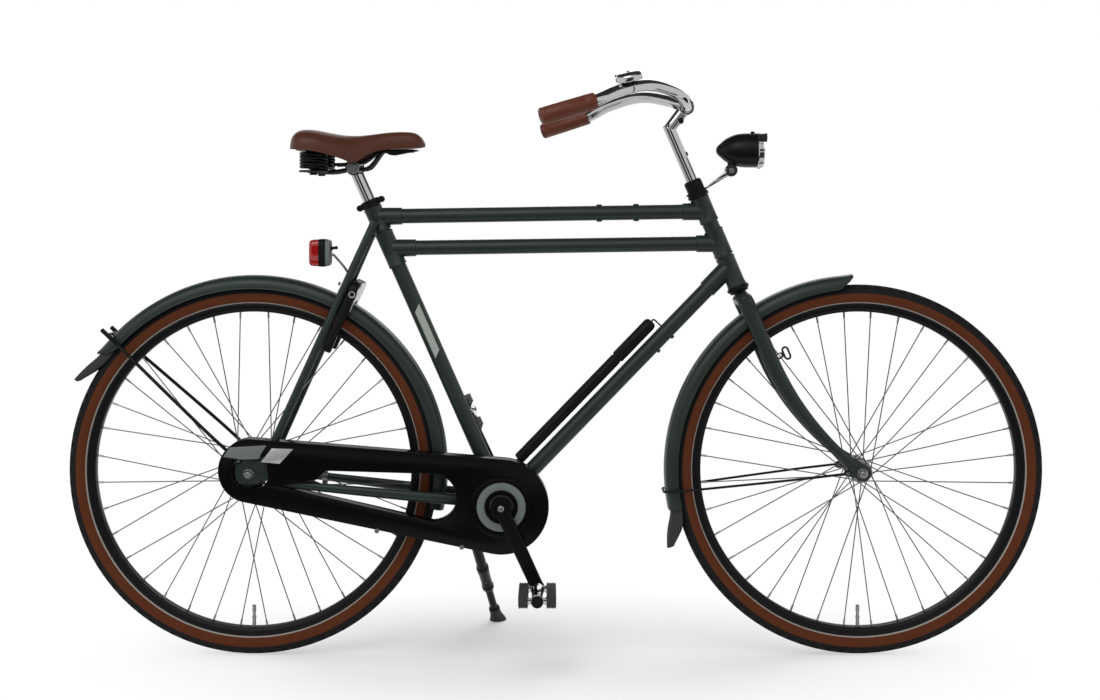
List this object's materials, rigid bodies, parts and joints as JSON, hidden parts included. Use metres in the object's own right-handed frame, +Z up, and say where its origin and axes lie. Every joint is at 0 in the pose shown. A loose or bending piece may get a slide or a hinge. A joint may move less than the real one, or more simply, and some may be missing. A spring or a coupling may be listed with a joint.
{
  "type": "dutch city bike",
  "caption": "Upright city bicycle with twin top tubes, sprung saddle, swept handlebar, full chain case, mudguards, lamps, pump, ring lock and side stand.",
  "frame": {"origin": "on the floor, midway between the wheel centres, in the bike's middle plane", "axes": "+X towards the front wheel, +Y towards the rider's left, +Z up"},
  "size_m": [1.885, 0.5904, 1.1148],
  "materials": {
    "frame_paint": "satin dark green-grey",
    "black_paint": "gloss black enamel",
    "chrome": "polished",
    "steel": "dull",
    "case_black": "gloss black",
    "grey_trim": "satin grey",
    "tyre_rubber": "matte black tread with brown side walls",
    "rim_alloy": "black anodised",
    "black_rubber": "matte",
    "saddle_leather": "worn satin brown",
    "grip_leather": "stitched red-brown",
    "red_lens": "clear red",
    "clear_lens": "clear"
  },
  "bodies": {
    "frame": {"head_tube": "frame_paint", "seat_tube": "frame_paint", "upper_top_tube": "frame_paint", "lower_top_tube": "frame_paint", "down_tube": "frame_paint", "bottom_bracket_shell": "frame_paint", "chain_stays": "frame_paint", "seat_stays": "frame_paint", "headset_cups": "black_paint", "seat_clamp": "black_paint", "rear_mudguard": "frame_paint", "rear_mudguard_stay": "black_paint", "rear_mudguard_flap": "black_rubber", "rear_axle": "steel", "rear_lamp_body": "black_paint", "rear_lamp_lens": "red_lens", "ring_lock": "black_paint", "chain_case": "case_black", "chain_case_ring": "grey_trim", "chain": "steel", "pump": "black_paint", "kickstand_mount": "black_paint"},
    "seat": {"seat_post": "chrome", "saddle_cover": "saddle_leather", "saddle_frame": "black_paint", "saddle_springs": "black_paint", "saddle_clamp": "chrome"},
    "stand": {"kickstand_leg": "black_paint", "kickstand_foot": "black_rubber"},
    "cranks": {"crank_axle": "steel", "right_crank": "black_paint", "left_crank": "black_paint"},
    "right_pedal_body": {"right_pedal": "chrome", "right_pedal_rubbers": "black_rubber"},
    "left_pedal_body": {"left_pedal": "chrome", "left_pedal_rubbers": "black_rubber"},
    "sprocket": {"rear_sprocket": "steel"},
    "fork_group": {"fork": "frame_paint", "lock_anchor": "chrome", "front_axle": "steel", "front_mudguard": "frame_paint", "front_mudguard_stay": "black_paint", "front_mudguard_flap": "black_rubber", "headlamp_bracket": "chrome", "stem": "chrome", "handlebar": "chrome", "right_grip": "grip_leather", "left_grip": "grip_leather", "bell": "chrome", "headset_locknut": "black_paint"},
    "headlamp": {"headlamp_body": "black_paint", "headlamp_rim": "chrome", "headlamp_lens": "clear_lens"},
    "bell_thumb_lever": {"bell_lever": "black_paint"},
    "front_wheel": {"front_tyre": "tyre_rubber", "front_rim": "rim_alloy", "front_hub_and_spokes": "steel"},
    "rear_wheel": {"rear_tyre": "tyre_rubber", "rear_rim": "rim_alloy", "rear_hub_and_spokes": "steel"}
  },
  "joints": [
    {"name": "steering", "type": "hinge", "parent": "frame", "child": "fork_group", "pos_m": [0.51606, 0, 0.32795], "axis": [-0.3939, 0, 0.9191], "range_deg": [-90, 90]},
    {"name": "front_wheel_spin", "type": "hinge", "parent": "fork_group", "child": "front_wheel", "pos_m": [0.585, 0, 0.3575], "axis": [0, 1, 0], "continuous": true},
    {"name": "rear_wheel_spin", "type": "hinge", "parent": "frame", "child": "rear_wheel", "pos_m": [-0.585, 0, 0.3575], "axis": [0, 1, 0], "continuous": true},
    {"name": "crank_turn", "type": "hinge", "parent": "frame", "child": "cranks", "pos_m": [-0.104, 0, 0.296], "axis": [0, 1, 0], "range_deg": [-105, 195], "deforming": ["chain"]},
    {"name": "sprocket_turn", "type": "hinge", "parent": "frame", "child": "sprocket", "pos_m": [-0.585, 0, 0.3575], "axis": [0, 1, 0], "continuous": true},
    {"name": "right_pedal_spin", "type": "hinge", "parent": "cranks", "child": "right_pedal_body", "pos_m": [-0.03479, -0.1365, 0.14622], "axis": [0, 1, 0], "continuous": true},
    {"name": "left_pedal_spin", "type": "hinge", "parent": "cranks", "child": "left_pedal_body", "pos_m": [-0.17321, 0.1365, 0.44578], "axis": [0, 1, 0], "continuous": true},
    {"name": "stand_fold", "type": "hinge", "parent": "frame", "child": "stand", "pos_m": [-0.166, 0.045, 0.235], "axis": [-0.375, 0.927, 0], "range_deg": [0, 97]},
    {"name": "seat_height", "type": "slide", "parent": "frame", "child": "seat", "axis": [-0.4051, 0, 0.9143], "range_m": [-0.04, 0.06]},
    {"name": "headlamp_tilt", "type": "hinge", "parent": "fork_group", "child": "headlamp", "pos_m": [0.34, 0, 0.936], "axis": [0, 1, 0], "range_deg": [-20, 20]},
    {"name": "bell_ring", "type": "hinge", "parent": "fork_group", "child": "bell_thumb_lever", "pos_m": [0.1244, -0.18548, 1.08681], "axis": [0.1142, -0.2855, 0.9516], "range_deg": [0, 20], "stiffness_Nm_per_rad": 0.02}
  ],
  "couplings": [
    {"joint": "sprocket_turn", "follows": "crank_turn", "ratio": 2}
  ]
}
